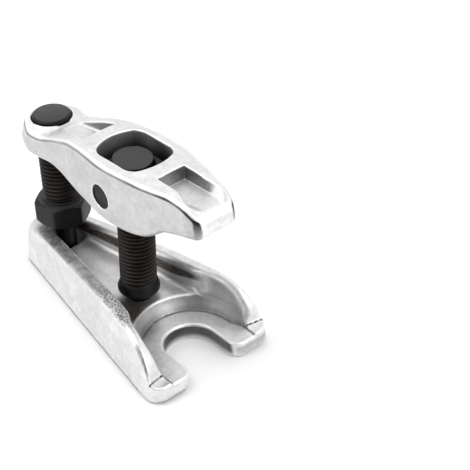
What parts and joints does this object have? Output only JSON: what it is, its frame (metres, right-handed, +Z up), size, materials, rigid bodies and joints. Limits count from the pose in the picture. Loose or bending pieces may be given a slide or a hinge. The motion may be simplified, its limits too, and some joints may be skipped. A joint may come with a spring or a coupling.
{
  "type": "ball joint separator",
  "caption": "Lever-type ball joint separator: forged fork, threaded centre spindle, pivoting lever and a hex pressure screw.",
  "frame": {"origin": "on the ground under the centre of the fork mouth", "axes": "+X to the open end of the fork, +Z up along the centre spindle, +Y to the side"},
  "size_m": [0.1241, 0.0646, 0.0921],
  "materials": {
    "plated_forging": "bright plated forging, satin",
    "black_oxide": "black oxide, oiled",
    "zinc_steel": "zinc plated, satin"
  },
  "bodies": {
    "base": {"lower_fork": "plated_forging"},
    "spindle": {"centre_spindle": "black_oxide", "spindle_collar": "black_oxide", "thrust_washer": "zinc_steel", "retaining_ring": "zinc_steel"},
    "pivot_carrier": {"pivot_block": "black_oxide"},
    "lever": {"upper_lever": "plated_forging", "pivot_pin_left": "black_oxide", "pivot_pin_right": "black_oxide"},
    "thrust_tip": {"thrust_pin": "black_oxide"},
    "screw": {"pressure_screw": "black_oxide"}
  },
  "joints": [
    {"name": "spindle_turn", "type": "hinge", "parent": "base", "child": "spindle", "pos_m": [-0.0346, 0, 0.0145], "axis": [0, 0, -1], "range_deg": [0, 1090]},
    {"name": "jaw_height", "type": "slide", "parent": "base", "child": "pivot_carrier", "axis": [0, 0, 1], "range_m": [0, 0.006]},
    {"name": "lever_tilt", "type": "hinge", "parent": "pivot_carrier", "child": "lever", "pos_m": [-0.0346, 0, 0.0746], "axis": [0, 1, 0], "range_deg": [0, 5.3]},
    {"name": "screw_advance", "type": "slide", "parent": "lever", "child": "thrust_tip", "axis": [0.0651, 0, -0.9979], "range_m": [0, 0.005]},
    {"name": "pressure_screw_turn", "type": "hinge", "parent": "thrust_tip", "child": "screw", "pos_m": [-0.08918, 0, 0.07104], "axis": [0.0651, 0, -0.9979], "range_deg": [0, 910]}
  ],
  "couplings": [
    {"joint": "spindle_turn", "follows": "jaw_height", "rad_per_m": 3141.6},
    {"joint": "pressure_screw_turn", "follows": "screw_advance", "rad_per_m": 3141.6},
    {"joint": "lever_tilt", "follows": "screw_advance", "rad_per_m": 18.282}
  ]
}
